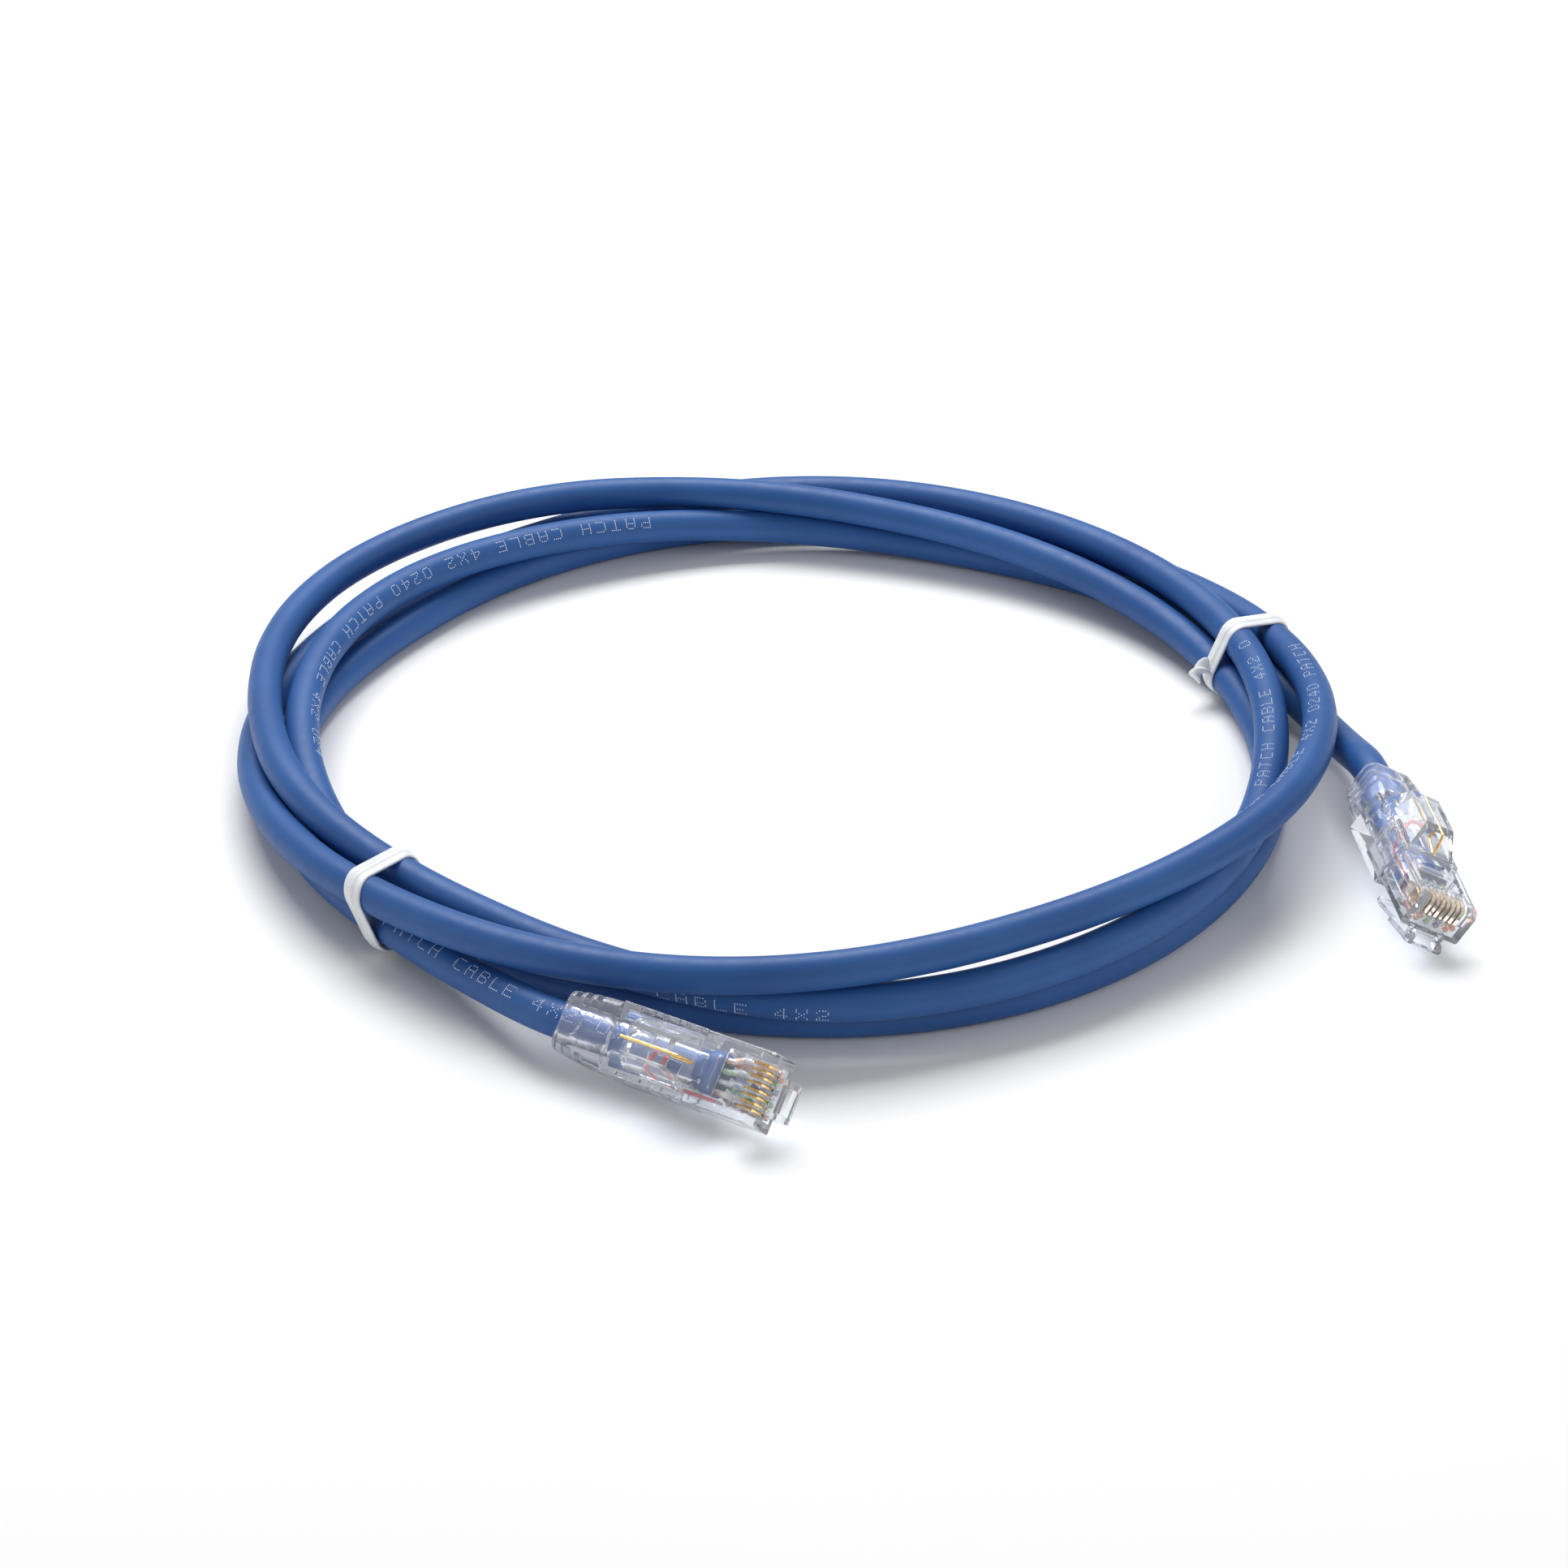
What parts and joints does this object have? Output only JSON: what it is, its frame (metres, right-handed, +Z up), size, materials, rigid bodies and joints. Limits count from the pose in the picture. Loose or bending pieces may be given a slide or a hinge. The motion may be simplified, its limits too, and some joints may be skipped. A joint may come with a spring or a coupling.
{
  "type": "ethernet patch cable",
  "caption": "Round blue four-pair network patch cord wound in loose tied turns, with a clear latching modular plug, spring sensor contact and frosted boot on each end",
  "frame": {"origin": "on the surface that the cable lies on, under the middle of the wound turns", "axes": "+Z up from the surface; -Y towards the side with the front left plug; +X towards the plug at the right"},
  "size_m": [0.2094, 0.2185, 0.0178],
  "materials": {
    "jacket_blue": "soft satin PVC",
    "tie_white": "smooth",
    "tie_steel": "drawn wire",
    "clear_plastic": "polished clear polycarbonate",
    "boot_frosted": "frosted clear elastomer",
    "gold_contact": "gold plated",
    "copper_core": "drawn copper",
    "wire_white_orange": "insulation",
    "wire_orange": "insulation",
    "wire_white_green": "insulation",
    "wire_blue": "insulation",
    "wire_white_blue": "insulation",
    "wire_green": "insulation",
    "wire_white_brown": "insulation",
    "wire_brown": "insulation",
    "wire_red": "insulation"
  },
  "bodies": {
    "cable": {"boot_a": "boot_frosted", "boot_b": "boot_frosted", "cable_coil": "jacket_blue", "cable_tail_a": "jacket_blue", "cable_tail_b": "jacket_blue", "contacts_a": "gold_contact", "contacts_b": "gold_contact", "load_bar_a": "clear_plastic", "load_bar_b": "clear_plastic", "plug_housing_a": "clear_plastic", "plug_housing_b": "clear_plastic", "sensor_hood_a": "clear_plastic", "sensor_hood_b": "clear_plastic", "sensor_wire_a": "wire_red", "sensor_wire_b": "wire_red", "strain_wedge_a": "clear_plastic", "strain_wedge_b": "clear_plastic", "tie_ribbon_back": "tie_white", "tie_ribbon_front": "tie_white", "tie_wire_back": "tie_steel", "tie_wire_front": "tie_steel", "wire_1_a": "wire_white_orange", "wire_1_b": "wire_white_orange", "wire_2_a": "wire_orange", "wire_2_b": "wire_orange", "wire_3_a": "wire_white_green", "wire_3_b": "wire_white_green", "wire_4_a": "wire_blue", "wire_4_b": "wire_blue", "wire_5_a": "wire_white_blue", "wire_5_b": "wire_white_blue", "wire_6_a": "wire_green", "wire_6_b": "wire_green", "wire_7_a": "wire_white_brown", "wire_7_b": "wire_white_brown", "wire_8_a": "wire_brown", "wire_8_b": "wire_brown", "wire_cores_a": "copper_core", "wire_cores_b": "copper_core"},
    "latch_lever_a": {"latch_a": "clear_plastic"},
    "sensor_spring_a": {"sensor_contact_a": "gold_contact"},
    "latch_lever_b": {"latch_b": "clear_plastic"},
    "sensor_spring_b": {"sensor_contact_b": "gold_contact"}
  },
  "joints": [
    {"name": "latch_a_press", "type": "hinge", "parent": "cable", "child": "latch_lever_a", "pos_m": [-0.00117, -0.11177, 0.00491], "axis": [0.3726, 0.601, 0.7071], "range_deg": [0, 9], "stiffness_Nm_per_rad": 0.2},
    {"name": "sensor_a_spring", "type": "slide", "parent": "cable", "child": "sensor_spring_a", "axis": [-0.8443, 0.5358, -0.0105], "range_m": [0, 0.0008], "stiffness_N_per_m": 200},
    {"name": "latch_b_press", "type": "hinge", "parent": "cable", "child": "latch_lever_b", "pos_m": [0.10379, -0.06286, 0.00372], "axis": [0.8514, 0.1747, -0.4946], "range_deg": [0, 9], "stiffness_Nm_per_rad": 0.2},
    {"name": "sensor_b_spring", "type": "slide", "parent": "cable", "child": "sensor_spring_b", "axis": [-0.1454, 0.9846, 0.0976], "range_m": [0, 0.0008], "stiffness_N_per_m": 200}
  ]
}
